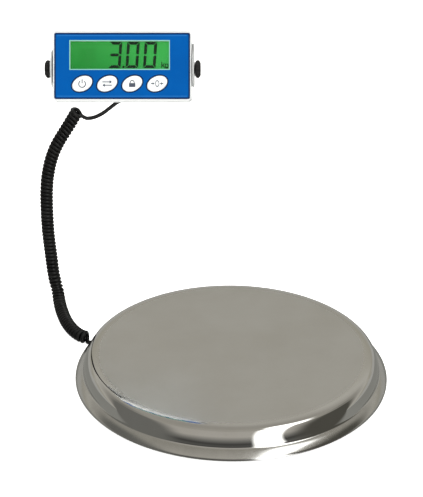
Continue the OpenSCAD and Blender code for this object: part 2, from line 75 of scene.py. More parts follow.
# ------------------------------------------------------------------ materials


def srgb(r, g, b):
    def f(c):
        c /= 255
        return c / 12.92 if c <= 0.04045 else ((c + 0.055) / 1.055) ** 2.4
    return (f(r), f(g), f(b), 1.0)


def shade(c, k):
    return (min(1, c[0] * k), min(1, c[1] * k), min(1, c[2] * k), 1.0)


class Tree:
    """A material's node tree, with short ways to add and join nodes."""

    def __init__(self, name):
        self.mat = bpy.data.materials.new(name)
        self.mat.use_nodes = True
        self.t = self.mat.node_tree
        self.p = self.t.nodes["Principled BSDF"]
        self.coord = self.t.nodes.new("ShaderNodeTexCoord")

    def new(self, kind, **values):
        n = self.t.nodes.new(kind)
        for k, v in values.items():
            setattr(n, k, v)
        return n

    def link(self, a, b):
        self.t.links.new(a, b)

    def point(self, stretch=(1, 1, 1), turn=(0, 0, 0), shift=(0, 0, 0)):
        m = self.new("ShaderNodeMapping")
        m.inputs["Scale"].default_value = stretch
        m.inputs["Rotation"].default_value = turn
        m.inputs["Location"].default_value = shift
        self.link(self.coord.outputs["Object"], m.inputs["Vector"])
        return m.outputs["Vector"]

    def noise(self, scale, detail=3, rough=0.55, at=None, distortion=0.0):
        n = self.new("ShaderNodeTexNoise")
        n.inputs["Scale"].default_value = scale
        n.inputs["Detail"].default_value = detail
        n.inputs["Roughness"].default_value = rough
        n.inputs["Distortion"].default_value = distortion
        self.link(at if at is not None else self.coord.outputs["Object"], n.inputs["Vector"])
        return n.outputs["Fac"]

    def ramp(self, value, stops, mode="LINEAR"):
        n = self.new("ShaderNodeValToRGB")
        n.color_ramp.interpolation = mode
        e = n.color_ramp.elements
        while len(e) < len(stops):
            e.new(0.5)
        for i, (x, c) in enumerate(stops):
            e[i].position = x
            e[i].color = c if hasattr(c, "__len__") else (c, c, c, 1)
        self.link(value, n.inputs["Fac"])
        return n.outputs["Color"]

    def mix(self, fac, a, b, kind="MIX"):
        n = self.new("ShaderNodeMix", data_type="RGBA", blend_type=kind)
        for value, socket in ((fac, n.inputs[0]), (a, n.inputs[6]), (b, n.inputs[7])):
            if isinstance(value, bpy.types.NodeSocket):
                self.link(value, socket)
            else:
                socket.default_value = value
        return n.outputs[2]

    def math(self, op, a, b=0.0, c=None):
        n = self.new("ShaderNodeMath", operation=op)
        for i, value in enumerate((a, b, c)):
            if value is None:
                continue
            if isinstance(value, bpy.types.NodeSocket):
                self.link(value, n.inputs[i])
            else:
                n.inputs[i].default_value = value
        return n.outputs[0]

    def span(self, value, lo, hi, a=0.0, b=1.0, smooth=True):
        n = self.new("ShaderNodeMapRange")
        n.interpolation_type = "SMOOTHSTEP" if smooth else "LINEAR"
        for k, v in (("From Min", lo), ("From Max", hi), ("To Min", a), ("To Max", b)):
            n.inputs[k].default_value = v
        self.link(value, n.inputs["Value"])
        return n.outputs["Result"]

    def bump(self, height, strength, distance=0.0002, under=None):
        n = self.new("ShaderNodeBump")
        n.inputs["Strength"].default_value = strength
        n.inputs["Distance"].default_value = distance
        self.link(height, n.inputs["Height"])
        if under is not None:
            self.link(under, n.inputs["Normal"])
        self.link(n.outputs["Normal"], self.p.inputs["Normal"])
        return n.outputs["Normal"]

    def put(self, **values):
        names = {
            "base": "Base Color", "rough": "Roughness", "metal": "Metallic",
            "coat": "Coat Weight", "coat_rough": "Coat Roughness", "sheen": "Sheen Weight",
            "alpha": "Alpha", "emit": "Emission Color", "glow": "Emission Strength",
            "ior": "IOR", "spec": "Specular IOR Level", "sub": "Subsurface Weight",
            "aniso": "Anisotropic",
        }
        for k, v in values.items():
            s = self.p.inputs[names[k]]
            if isinstance(v, bpy.types.NodeSocket):
                self.link(v, s)
            else:
                s.default_value = v
        return self.mat


def plastic(name, colour, rough=0.42, grain=1400, mottle=60, depth=0.10, bump=0.12, coat=0.0, vary=0.06):
    """Moulded plastic: a fine spark-erosion grain, slow mottling and rubbed patches."""
    t = Tree(name)
    slow = t.noise(mottle, 3)
    fine = t.noise(grain, 2)
    c = t.mix(t.span(slow, 0.35, 0.7), shade(colour, 1 - depth), shade(colour, 1 + depth * 0.6))
    c = t.mix(t.span(fine, 0.4, 0.6, 0, vary), c, shade(colour, 0.6))
    t.bump(fine, bump, 0.00012)
    return t.put(base=c, rough=t.span(t.noise(mottle * 2.3, 4), 0.3, 0.7, rough - 0.06, rough + 0.08), coat=coat)


def metal(name, colour, rough=0.3, stretch=(1, 40, 40), grain=60, bump=0.08, depth=0.12):
    """Sheet or turned metal: stretched grain, stains and small changes of gloss."""
    t = Tree(name)
    lines = t.noise(grain, 4, 0.7, t.point(stretch))
    stain = t.noise(45, 4, 0.6)
    c = t.mix(t.span(stain, 0.35, 0.75), shade(colour, 1 - depth), colour)
    c = t.mix(t.span(lines, 0.45, 0.75, 0, 0.25), c, shade(colour, 1 + depth))
    t.bump(lines, bump, 0.0001)
    return t.put(base=c, metal=1.0, rough=t.span(lines, 0.3, 0.7, rough - 0.07, rough + 0.1))


def rubber(name, colour, rough=0.62):
    t = Tree(name)
    grain = t.noise(2600, 2)
    dust = t.noise(130, 4, 0.65)
    c = t.mix(t.span(dust, 0.45, 0.8), colour, (colour[0] + 0.02, colour[1] + 0.02, colour[2] + 0.018, 1))
    t.bump(grain, 0.25, 0.00015)
    return t.put(base=c, rough=t.span(dust, 0.3, 0.8, rough - 0.1, rough + 0.12))


def polished_steel():
    """The pan: mirror-bright shoulder, a flat that is rubbed satin by use, a lip that is rougher and darker in patches.
    """
    t = Tree("pan_polished_steel")
    sep = t.new("ShaderNodeSeparateXYZ")
    t.link(t.coord.outputs["Object"], sep.inputs[0])
    x, y, z = sep.outputs
    r = t.math("SQRT", t.math("ADD", t.math("MULTIPLY", x, x), t.math("MULTIPLY", y, y)))
    flat = t.span(r, 0.133, 0.1405, 1, 0)
    lip = t.span(r, 0.1512, 0.1530, 0, 1)
    brush = t.noise(900, 3, 0.6, t.point((0.03, 1, 1)))
    scratch = t.noise(1500, 2, 0.5, t.point((1, 0.02, 1), (0, 0, 0.5)))
    cloud = t.noise(14, 4, 0.6)
    spots = t.noise(160, 4, 0.7)
    base = t.mix(t.span(cloud, 0.3, 0.75), (0.70, 0.69, 0.665, 1), (0.75, 0.745, 0.725, 1))
    base = t.mix(t.span(spots, 0.62, 0.8, 0, 0.16), base, (0.5, 0.48, 0.44, 1))
    # the lip's colour is mixed in patches towards a darker grey
    lip_dark_patches = t.span(t.noise(70, 4, 0.6), 0.3, 0.75, 0.25, 0.5)
    base = t.mix(t.math("MULTIPLY", lip, lip_dark_patches), base, (0.50, 0.50, 0.48, 1))
    rough = t.math("ADD", t.math("MULTIPLY", flat, t.span(cloud, 0.3, 0.7, 0.24, 0.30)),
                   t.span(spots, 0.4, 0.8, 0.045, 0.08))
    rough = t.math("ADD", rough, t.math("MULTIPLY", lip, 0.11))
    h = t.math("ADD", t.math("MULTIPLY", brush, 0.6), t.math("MULTIPLY", scratch, 0.4))
    waves = t.bump(t.noise(26, 2, 0.4), 0.035, 0.002)
    t.bump(h, 0.02, 0.00006, waves)
    return t.put(base=base, metal=1.0, rough=rough)


M = {}
M["pan"] = polished_steel()
M["steel"] = metal("satin_steel", (0.55, 0.55, 0.54, 1), 0.32)
M["bright_screw"] = metal("nickel_screws", (0.66, 0.65, 0.62, 1), 0.24, (30, 30, 30), 30)
M["black_screw"] = metal("blackened_screws", (0.09, 0.09, 0.1, 1), 0.38, (30, 30, 30), 30)
M["alu"] = metal("milled_aluminium", (0.74, 0.75, 0.77, 1), 0.34, (1, 60, 60), 50)
M["zinc"] = metal("zinc_plated_plate", (0.46, 0.47, 0.48, 1), 0.4, (20, 20, 20), 12)
M["bracket"] = plastic("bracket_grey_enamel", (0.46, 0.47, 0.47, 1), 0.36, 1500, 35, 0.08, 0.16, 0.15)
M["brass"] = metal("brass_inserts", (0.62, 0.43, 0.17, 1), 0.3)
M["spring"] = metal("plated_contacts", (0.7, 0.7, 0.68, 1), 0.28)
M["knob"] = plastic("black_knob_plastic", (0.006, 0.006, 0.0065, 1), 0.42, 1800, 80, 0.3, 0.3)
M["black"] = plastic("black_part_plastic", (0.02, 0.02, 0.021, 1), 0.5)
M["cord"] = None
M["feet"] = rubber("foot_rubber", (0.022, 0.022, 0.022, 1))
M["pads"] = rubber("pad_rubber", (0.035, 0.035, 0.035, 1))
M["housing"] = plastic("housing_white_abs", (0.60, 0.615, 0.615, 1), 0.4, 1600, 40, 0.03, 0.10, 0.0, 0.03)
M["cover"] = plastic("battery_door_abs", (0.575, 0.585, 0.58, 1), 0.42, 1600, 40, 0.03, 0.10, 0.0, 0.03)
M["tray"] = plastic("tray_plastic", (0.05, 0.05, 0.055, 1), 0.5)
M["sealant"] = rubber("gauge_sealant", (0.62, 0.61, 0.55, 1), 0.4)
M["nylon"] = plastic("nylon_washers", (0.70, 0.69, 0.63, 1), 0.45)
M["frame"] = plastic("display_frame_plastic", (0.62, 0.62, 0.6, 1), 0.45)
M["diffuser"] = plastic("backlight_diffuser", (0.7, 0.85, 0.7, 1), 0.3)
M["terminal"] = plastic("terminal_green", srgb(24, 110, 70), 0.45)
M["switch"] = plastic("switch_black", (0.03, 0.03, 0.03, 1), 0.4)


def circuit():
    t = Tree("circuit_board")
    w = t.new("ShaderNodeTexWave")
    w.inputs["Scale"].default_value = 260
    w.inputs["Distortion"].default_value = 2.5
    w.inputs["Detail"].default_value = 1
    t.link(t.coord.outputs["Object"], w.inputs["Vector"])
    tracks = t.span(w.outputs["Fac"], 0.62, 0.7)
    c = t.mix(t.span(t.noise(60), 0.3, 0.7), (0.008, 0.10, 0.035, 1), (0.012, 0.16, 0.05, 1))
    c = t.mix(tracks, c, (0.03, 0.24, 0.08, 1))
    t.bump(tracks, 0.2, 0.00005)
    return t.put(base=c, rough=t.span(t.noise(300), 0.3, 0.7, 0.28, 0.4), coat=0.4, coat_rough=0.2)


def wrap():
    """Sleeve of a cell, two tones round the barrel."""
    t = Tree("cell_sleeves")
    sep = t.new("ShaderNodeSeparateXYZ")
    t.link(t.coord.outputs["Object"], sep.inputs[0])
    band = t.span(t.math("PINGPONG", t.math("ADD", sep.outputs[0], 0.113 + 0.5), 0.026), 0.012, 0.0135)
    c = t.mix(band, (0.45, 0.28, 0.06, 1), (0.03, 0.03, 0.035, 1))
    c = t.mix(t.span(t.noise(90), 0.4, 0.7, 0, 0.25), c, (0.2, 0.18, 0.14, 1))
    return t.put(base=c, rough=t.span(t.noise(400), 0.3, 0.7, 0.22, 0.34), coat=0.3)


M["board"] = circuit()
M["cell"] = wrap()


def cord_pvc(name, colour):
    t = Tree(name)
    fine = t.noise(1700, 2)
    slow = t.noise(70, 4, 0.6)
    c = t.mix(t.span(slow, 0.4, 0.75), colour, (colour[0] + 0.006, colour[1] + 0.006, colour[2] + 0.0055, 1))
    c = t.mix(t.span(fine, 0.55, 0.75, 0, 0.2), c, (colour[0] + 0.012, colour[1] + 0.012, colour[2] + 0.012, 1))
    t.bump(fine, 0.12, 0.0001)
    return t.put(base=c, rough=t.span(slow, 0.3, 0.7, 0.26, 0.38), spec=0.28)


M["cord"] = cord_pvc("cord_black_pvc", (0.003, 0.003, 0.0032, 1))
M["grey_cord"] = cord_pvc("cable_grey_pvc", (0.22, 0.22, 0.22, 1))


# ------------------------------------------------------------------ mesh helpers


def add(name, bm, mat, body=None, angle=35, weighted=False):
    bmesh.ops.recalc_face_normals(bm, faces=bm.faces)
    me = bpy.data.meshes.new(name)
    bm.to_mesh(me)
    bm.free()
    me.shade_smooth()
    if angle is not None:
        me.set_sharp_from_angle(angle=rad(angle))
    o = bpy.data.objects.new(name, me)
    bpy.context.scene.collection.objects.link(o)
    me.materials.append(mat)
    if weighted:
        m = o.modifiers.new("normals", "WEIGHTED_NORMAL")
        m.keep_sharp = True
    if body is not None:
        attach(o, body)
    return o


def loops(bm, rings, close=True, cap0=True, cap1=True):
    """Joins rings of points, all of one count, with quads."""
    made = [[bm.verts.new(p) for p in ring] for ring in rings]
    n = len(made[0])
    for a, b in zip(made, made[1:]):
        for k in range(n if close else n - 1):
            j = (k + 1) % n
            bm.faces.new((a[k], a[j], b[j], b[k]))
    if cap0:
        bm.faces.new(made[0][::-1])
    if cap1:
        bm.faces.new(made[-1])
    return made


def lathe(bm, profile, n, place=None):
    """Turns (radius, height) points about z; the ends on the axis close it."""
    rings = []
    for r, z in profile:
        if r < 1e-9:
            p = Vector((0, 0, z))
            rings.append([bm.verts.new(place @ p if place else p)])
        else:
            ring = []
            for k in range(n):
                a = 2 * math.pi * k / n
                p = Vector((r * math.cos(a), r * math.sin(a), z))
                ring.append(bm.verts.new(place @ p if place else p))
            rings.append(ring)
    for a, b in zip(rings, rings[1:]):
        for k in range(n):
            j = (k + 1) % n
            if len(a) == 1 and len(b) == 1:
                continue
            if len(a) == 1:
                bm.faces.new((a[0], b[k], b[j]))
            elif len(b) == 1:
                bm.faces.new((a[k], a[j], b[0]))
            else:
                bm.faces.new((a[k], a[j], b[j], b[k]))


def spline(points, step):
    """A Catmull-Rom curve through the points, sampled about every step."""
    pts = [Vector(p) for p in points]
    out = []
    for i in range(len(pts) - 1):
        p0, p1, p2, p3 = pts[max(i - 1, 0)], pts[i], pts[i + 1], pts[min(i + 2, len(pts) - 1)]
        k = max(1, round((p2 - p1).length / step))
        for j in range(k):
            t = j / k
            out.append(0.5 * (2 * p1 + (p2 - p0) * t + (2 * p0 - 5 * p1 + 4 * p2 - p3) * t * t
                              + (3 * p1 - p0 - 3 * p2 + p3) * t ** 3))
    out.append(pts[-1])
    return out


def run(points):
    """Lengths along a line of points."""
    s = [0.0]
    for a, b in zip(points, points[1:]):
        s.append(s[-1] + (b - a).length)
    return s


def sweep(bm, path, radius, sides):
    """A round tube along the path; radius is a number or a list."""
    n = len(path)
    tang = [(path[min(i + 1, n - 1)] - path[max(i - 1, 0)]).normalized() for i in range(n)]
    ref = tang[0].orthogonal().normalized()
    rings = []
    for i in range(n):
        ref = (ref - tang[i] * ref.dot(tang[i])).normalized()
        side = tang[i].cross(ref)
        r = radius[i] if hasattr(radius, "__len__") else radius
        rings.append([path[i] + r * (math.cos(2 * math.pi * k / sides) * ref + math.sin(2 * math.pi * k / sides) * side)
                      for k in range(sides)])
    loops(bm, rings)


# ------------------------------------------------------------------ the curly cord
# The same routes as the part's source, except where the lead swings round to meet the first turn.


def at_gland(y):
    """A point on the axis of the gland at the indicator's back."""
    c, k = math.cos(rad(26)), math.sin(rad(26))
    return V(-109, 159 + y * c - 23 * k, 278.5 - 23 * c - y * k)


def at_grip(r):
    """A point on the axis of the grip at the base's rim."""
    return V(r * math.cos(rad(156.6)), r * math.sin(rad(156.6)), 10.5)


LEAD = [at_gland(22.8), at_gland(26), V(-109.5, 175, 244), V(-112, 176, 241), V(-116, 175, 238.5), V(-121, 172, 237),
        V(-129, 169.5, 231.5), V(-136, 166.5, 227), V(-144.5, 162, 224), V(-153, 158, 224), V(-158, 157, 227)]
COIL = [V(-162.5, 150, 234.5), V(-173, 150.5, 217), V(-185, 151, 197.5), V(-192.5, 152, 180),
        V(-197.5, 153, 160), V(-200, 154, 140), V(-201, 155, 116), V(-201, 156, 90), V(-199.5, 156, 64),
        V(-197.5, 155, 38), V(-194, 152, 20.5), V(-189.5, 134, 10), V(-181.5, 107, 7.5), V(-172.5, 86, 7.5),
        V(-164, 73.5, 7.5), V(-157.5, 68, 7.5), V(-151, 67, 7.5)]
TAIL = [V(-146, 64.5, 2.5), V(-140.5, 62, 2.5), V(-136, 59.5, 4.5), V(-132.5, 57.5, 8.5), V(-130, 56.5, 10),
        at_grip(140)]
COIL_R = 5.35 * MM
PER_TURN = 18


def join(p0, d0, p1, d1, step):
    """A smooth curve from p0 towards p1, leaving along d0 and arriving along d1, without its last point."""
    k = (p1 - p0).length
    m0, m1 = d0.normalized() * k, d1.normalized() * k
    n = max(2, round(1.1 * k / step))
    out = []
    for i in range(n):
        t = i / n
        out.append((2 * t ** 3 - 3 * t ** 2 + 1) * p0 + (t ** 3 - 2 * t ** 2 + t) * m0
                   + (3 * t ** 2 - 2 * t ** 3) * p1 + (t ** 3 - t ** 2) * m1)
    return out


def cord_path():
    axis = spline(COIL, 0.4 * MM)
    s = run(axis)
    total = s[-1]

    def pitch(x):
        # closed turns, opened very slightly round the bottom bend
        d = (x - 222 * MM) / (34 * MM)
        return (4.42 + 0.1 * math.exp(-d * d)) * MM

    # directions across the axis, carried along it without twist
    t0 = (axis[1] - axis[0]).normalized()
    e1 = Vector((0, -1, 0))
    e1 = (e1 - t0 * e1.dot(t0)).normalized()
    frames = []
    for i in range(len(axis)):
        t = (axis[min(i + 1, len(axis) - 1)] - axis[max(i - 1, 0)]).normalized()
        e1 = (e1 - t * e1.dot(t)).normalized()
        frames.append((t, e1.copy(), e1.cross(t)))
    turns = []
    # the first turn begins at the back, where the lead comes in from the right
    start = 0.53
    phase, x, i = start, 0.0, 0
    step = 1.0 / PER_TURN
    while x < total:
        while s[i + 1] < x and i < len(s) - 2:
            i += 1
        f = (x - s[i]) / (s[i + 1] - s[i])
        c = axis[i].lerp(axis[i + 1], min(1, f))
        t, a, b = frames[i]
        turns.append(c + COIL_R * (math.cos(2 * math.pi * phase) * a + math.sin(2 * math.pi * phase) * b))
        phase += step
        x += pitch(x) * step
    # the last turn ends underneath, where the cord leaves along the table
    last = min(range(len(turns) - PER_TURN, len(turns)), key=lambda k: turns[k].z)
    turns = turns[:last + 1]
    lead = spline(LEAD, 2.0 * MM)
    into = join(lead[-1], lead[-1] - lead[-2], turns[0], turns[1] - turns[0], 1.7 * MM)
    out = join(turns[-1], turns[-1] - turns[-2], TAIL[0], TAIL[1] - TAIL[0], 1.2 * MM)
    tail = spline(TAIL, 1.6 * MM)
    head = lead[:-1] + into
    return head + turns[:-1] + out + tail, len(turns) / PER_TURN, len(head), len(turns)


path, n_turns, N_LEAD, N_COIL = cord_path()
for p in path:
    # the cord lies on the table and never goes below it
    p.z = max(p.z, 2.2 * MM)
bm = bmesh.new()
# drawn a little thinner where it is wound
s_path = run(path)
wound = (s_path[N_LEAD], s_path[N_LEAD + N_COIL - 1])


def wire(s):
    k = min(1.0, max(0.0, (s - wound[0]) / (8 * MM))) * min(1.0, max(0.0, (wound[1] - s) / (8 * MM)))
    return (2.1 - 0.21 * k) * MM


sweep(bm, path, [wire(s) for s in s_path], 12)
cord = add("curly_cord", bm, M["cord"], None, None)
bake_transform(cord)
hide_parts("cord_lead", "cord_coil", "cord_tail")

# ------------------------------------------------------------------ the pan


def arc(cx, cy, a, b, t0, t1, n):
    return [(cx + a * math.cos(rad(t0 + (t1 - t0) * i / n)), cy + b * math.sin(rad(t0 + (t1 - t0) * i / n)))
            for i in range(n + 1)]


def smooth2(points, k):
    return [(p.x, p.y) for p in spline([Vector((a, b, 0)) for a, b in points], k)]


LC, LR, ER, EC = (144.8497, -3.7275), 18.8, 3.2, (156.8, 6.3)
outer = [(0, 31.5), (30, 31.5), (60, 31.5), (90, 31.5), (112, 31.5), (120, 31.5)]
# the last part of the flat falls away very slightly, then rolls into the shoulder
outer += smooth2([(125, 31.5), (129, 31.46), (133, 31.36), (136.5, 31.22), (139.5, 31.02), (142, 30.7), (144, 30.18),
                  (145.9, 28.9)], 0.4)[:-1]
outer += arc(140, 13.5, 11.5, 18, 58.6, 7, 40)
outer += smooth2([(151.5, 15.0), (151.62, 14.45), (151.86, 14.02), (152.2, 13.72)], 0.14)
outer += arc(LC[0], LC[1], LR, LR, 66.6, 40, 26)[1:]
outer += arc(EC[0], EC[1], ER, ER, 36, 0, 12)
edge = [(159.98, 5.6), (159.9, 5.25), (159.72, 5.06), (159.45, 5.01), (159.15, 5.03), (158.92, 5.16), (158.82, 5.5)]
inner = arc(EC[0], EC[1], ER - 1.2, ER - 1.2, 0, 34, 8)
inner += arc(LC[0], LC[1], LR - 1.2, LR - 1.2, 41, 65, 18)
inner += smooth2([(151.7, 12.65), (151.1, 13.0), (150.7, 13.55), (150.42, 14.4)], 0.2)
inner += arc(140, 13.5, 10.3, 16.8, 7, 90, 28)
inner += [(130, 30.3), (80, 30.3), (0, 30.3)]
bm = bmesh.new()
lathe(bm, [(r * MM, z * MM) for r, z in outer + edge + inner], 288)
pan = add("pan_sheet", bm, M["pan"], "pan", 60)
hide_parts("weighing_pan")

# ------------------------------------------------------------------ the indicator's own frame
IND = Matrix.Translation(V(-113, 159, 278.5)) @ Matrix.Rotation(rad(-26), 4, "X")


def L(x, y, z):
    return IND @ V(x, y, z)


ZM, KEY_X, KEY_Z, WIN_X, WIN_Z = 1.5, -41.5, -16.9, -2.6, 12.9


def bevelled(node, name, mat, width, segs=2, angle=30, keep=None, dissolve=0.6, weighted=True):
    """A copy of a CAD node with its sharp edges rounded, which stands for the node."""
    bm = bmesh.new()
    bm.from_mesh(NODES[node].data)
    bmesh.ops.remove_doubles(bm, verts=bm.verts, dist=2e-6)
    bmesh.ops.dissolve_limit(bm, angle_limit=rad(dissolve), verts=bm.verts, edges=bm.edges)
    edges = [e for e in bm.edges if len(e.link_faces) == 2 and e.calc_face_angle(0) > rad(angle)
             and (keep is None or keep(e))]
    bmesh.ops.bevel(bm, geom=edges, offset=width * MM, offset_type="OFFSET", segments=segs, profile=0.5,
                    affect="EDGES", clamp_overlap=True)
    bmesh.ops.triangulate(bm, faces=[f for f in bm.faces if len(f.verts) > 4])
    o = add(name, bm, mat, BODY[node], 38, weighted)
    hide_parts(node)
    return o


INV = IND.inverted()


def on_outline(e):
    """Outer edges of the housing, seen in the indicator's own frame."""
    for v in e.verts:
        p = INV @ v.co
        if abs(p.x) < 66.5 * MM and abs(p.z - ZM * MM) < 31.5 * MM:
            return False
    return True


def front_rim(e):
    return on_outline(e) and all((INV @ v.co).y < -12 * MM for v in e.verts) and any(
        abs((INV @ v.co).x) > 71 * MM or abs((INV @ v.co).z - ZM * MM) > 36 * MM for v in e.verts)


def rear_rim(e):
    p = [INV @ v.co for v in e.verts]
    return on_outline(e) and all(q.y > 21.5 * MM for q in p)


bevelled("front_housing", "housing_front", M["housing"], 1.2, 4, 40, front_rim)
bevelled("rear_housing", "housing_rear", M["housing"], 1.6, 4, 40, rear_rim)
bevelled("wall_bracket", "bracket_sheet", M["bracket"], 0.45, 2, 50)
bevelled("battery_cover", "battery_door", M["cover"], 0.35, 2, 50)
bevelled("knob_left", "knob_l", M["knob"], 0.35, 2, 40)
bevelled("knob_right", "knob_r", M["knob"], 0.35, 2, 40)

# ------------------------------------------------------------------ face


def face_material():
    t = Tree("face_blue_film")
    p = t.point((1, 1, 1))
    weave = t.noise(2400, 2)
    slow = t.noise(22, 3, 0.5)
    c = t.mix(t.span(slow, 0.35, 0.7), shade(srgb(0, 90, 172), 0.68), shade(srgb(0, 96, 181), 0.67))
    c = t.mix(t.span(weave, 0.4, 0.7, 0, 0.12), c, shade(srgb(0, 80, 158), 0.66))
    t.bump(weave, 0.10, 0.00006)
    return t.put(base=c, rough=t.span(slow, 0.3, 0.7, 0.4, 0.5), spec=0.04)


def ink(name, colour, rough=0.45):
    t = Tree(name)
    c = t.mix(t.span(t.noise(700), 0.35, 0.7, 0, 0.35), colour, shade(colour, 0.82))
    return t.put(base=c, rough=t.span(t.noise(300), 0.3, 0.7, rough - 0.05, rough + 0.05), spec=0.15)


M["face"] = face_material()
# navy: the printed border round the face, and also the painted shadow rings round the keys
M["navy"] = ink("face_navy_print_and_painted_key_shadow", shade(srgb(0, 44, 92), 0.6))
M["pale_line"] = ink("face_pale_line_ink", shade(srgb(40, 118, 190), 0.8))
M["mint"] = ink("window_mint_ink", shade(srgb(140, 205, 190), 0.72))
M["legend"] = ink("key_legend_ink", srgb(70, 76, 88))


def lcd():
    """Backlit glass: brighter to the right and top, a faint darker block at the left."""
    t = Tree("display_green_glass")
    m = t.new("ShaderNodeMapping", vector_type="TEXTURE")
    m.inputs["Location"].default_value = V(-113, 159, 278.5)
    m.inputs["Rotation"].default_value = (rad(-26), 0, 0)
    t.link(t.coord.outputs["Object"], m.inputs["Vector"])
    sep = t.new("ShaderNodeSeparateXYZ")
    t.link(m.outputs["Vector"], sep.inputs[0])
    x, y, z = sep.outputs
    right = t.span(x, -0.050, 0.050)
    up = t.span(z, -0.003, 0.029)
    c = t.mix(right, srgb(26, 143, 50), srgb(58, 180, 80))
    c = t.mix(t.math("MULTIPLY", up, 0.35), c, srgb(70, 186, 84))
    block = t.math("MULTIPLY", t.math("MULTIPLY", t.span(x, -0.0455, -0.0440), t.span(x, -0.0285, -0.0270, 1, 0)),
                   t.math("MULTIPLY", t.span(z, 0.0045, 0.006), t.span(z, 0.0195, 0.021, 1, 0)))
    c = t.mix(t.math("MULTIPLY", block, 0.4), c, srgb(32, 138, 48))
    c = t.mix(t.span(t.noise(500, 3), 0.35, 0.75, 0, 0.12), c, srgb(60, 160, 66))
    dim = t.mix(0.58, c, (0, 0, 0, 1))
    return t.put(base=dim, emit=c, glow=0.42, rough=t.span(t.noise(60), 0.3, 0.7, 0.3, 0.4), spec=0.1)


M["lcd"] = lcd()
M["digits"] = ink("display_dark_ink", srgb(0, 18, 4), 0.5)


def clear():
    t = Tree("window_clear_sheet")
    c = t.mix(t.span(t.noise(50), 0.3, 0.7), (0.04, 0.10, 0.05, 1), (0.06, 0.13, 0.07, 1))
    return t.put(base=c, rough=t.span(t.noise(90), 0.3, 0.7, 0.08, 0.14), alpha=0.06)


M["clear"] = clear()


def key_plastic():
    t = Tree("key_white_silicone")
    fine = t.noise(1500, 2)
    c = t.mix(t.span(t.noise(120), 0.35, 0.7), (0.74, 0.765, 0.775, 1), (0.79, 0.80, 0.80, 1))
    t.bump(fine, 0.08, 0.0001)
    return t.put(base=c, rough=t.span(fine, 0.3, 0.7, 0.42, 0.52))


M["key"] = key_plastic()


def ring_quads(bm, outer_pts, inner_pts, y0, y1):
    """A flat ring between two closed outlines of one count, with thickness, in the indicator's frame."""
    a = [bm.verts.new(L(x, y0, z)) for x, z in outer_pts]
    b = [bm.verts.new(L(x, y0, z)) for x, z in inner_pts]
    c = [bm.verts.new(L(x, y1, z)) for x, z in inner_pts]
    d = [bm.verts.new(L(x, y1, z)) for x, z in outer_pts]
    n = len(a)
    for k in range(n):
        j = (k + 1) % n
        bm.faces.new((a[k], a[j], b[j], b[k]))
        bm.faces.new((b[k], b[j], c[j], c[k]))
        bm.faces.new((c[k], c[j], d[j], d[k]))
        bm.faces.new((d[k], d[j], a[j], a[k]))


def slab(bm, pts, y0, y1):
    """A flat outline with thickness, in the indicator's frame."""
    a = [bm.verts.new(L(x, y0, z)) for x, z in pts]
    b = [bm.verts.new(L(x, y1, z)) for x, z in pts]
    n = len(a)
    bm.faces.new(a)
    bm.faces.new(b[::-1])
    for k in range(n):
        j = (k + 1) % n
        bm.faces.new((a[k], b[k], b[j], a[j]))


def rect(w, h, r, x=0.0, z=0.0, n=6):
    out = []
    for i, (sx, sz) in enumerate(((1, 1), (-1, 1), (-1, -1), (1, -1))):
        for k in range(n + 1):
            a = rad(90 * i + 90 * k / n)
            out.append((x + sx * (w / 2 - r) + r * math.cos(a), z + sz * (h / 2 - r) + r * math.sin(a)))
    return out


def oval(g, i, n=64):
    """The outline of key i, grown by g."""
    a, b, t = 10.85 + g, 7.45 + g, rad(25)
    return [(KEY_X + 26 * i + a * math.cos(u) * math.cos(t) - b * math.sin(u) * math.sin(t),
             KEY_Z + a * math.cos(u) * math.sin(t) + b * math.sin(u) * math.cos(t))
            for u in (2 * math.pi * k / n for k in range(n))]


bm = bmesh.new()
ring_quads(bm, rect(140.9, 68.7, 1.9, 0, ZM), rect(137.9, 65.6, 1.2, 0, ZM), -13.94, -13.8)
add("face_edge_print", bm, M["navy"], "indicator")
bm = bmesh.new()
for s in (-1, 1):
    z = ZM + s * 31.4
    slab(bm, [(-67.6, z - 0.28), (67.6, z - 0.28), (67.6, z + 0.28), (-67.6, z + 0.28)], -13.93, -13.8)
add("face_line_print", bm, M["pale_line"], "indicator")
# painted shadow: a dark navy ring round each key stands for the shade in the gap round it
bm = bmesh.new()
for i in range(4):
    ring_quads(bm, oval(1.5, i), oval(0.46, i), -13.93, -13.8)
add("key_shadow_ring_painted", bm, M["navy"], "indicator")

for i, node in enumerate(("key_power", "key_unit", "key_hold", "key_tare")):
    bm = bmesh.new()
    rings = []
    for g, y in ((-7.0, -14.6), (-4.0, -14.595), (-2.0, -14.57), (-1.1, -14.5), (-0.6, -14.38), (-0.25, -14.18),
                 (-0.06, -13.95), (0, -13.7), (0, -10.7), (1.2, -10.7), (1.2, -9.7)):
        rings.append([L(x, y, z) for x, z in oval(g, i)])
    kx = KEY_X + 26 * i
    stem = []
    for k in range(64):
        u = 2 * math.pi * k / 64 + rad(25)
        stem.append((kx + 2 * math.cos(u), KEY_Z + 2 * math.sin(u)))
    rings.append([L(x, -9.7, z) for x, z in stem])
    rings.append([L(x, -7.6, z) for x, z in stem])
    loops(bm, rings)
    key = add(node + "_cap", bm, M["key"], BODY[node], 50)
    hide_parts(node)

# ---- plain pictograms on the keys: on/off, change of unit, hold, zero


def bar(bm, x0, z0, x1, z1, w, y0=-14.64, y1=-14.5):
    d = Vector((x1 - x0, z1 - z0)).normalized()
    n = Vector((-d.y, d.x)) * w / 2
    slab(bm, [(x0 + n.x, z0 + n.y), (x0 - n.x, z0 - n.y), (x1 - n.x, z1 - n.y), (x1 + n.x, z1 + n.y)], y0, y1)


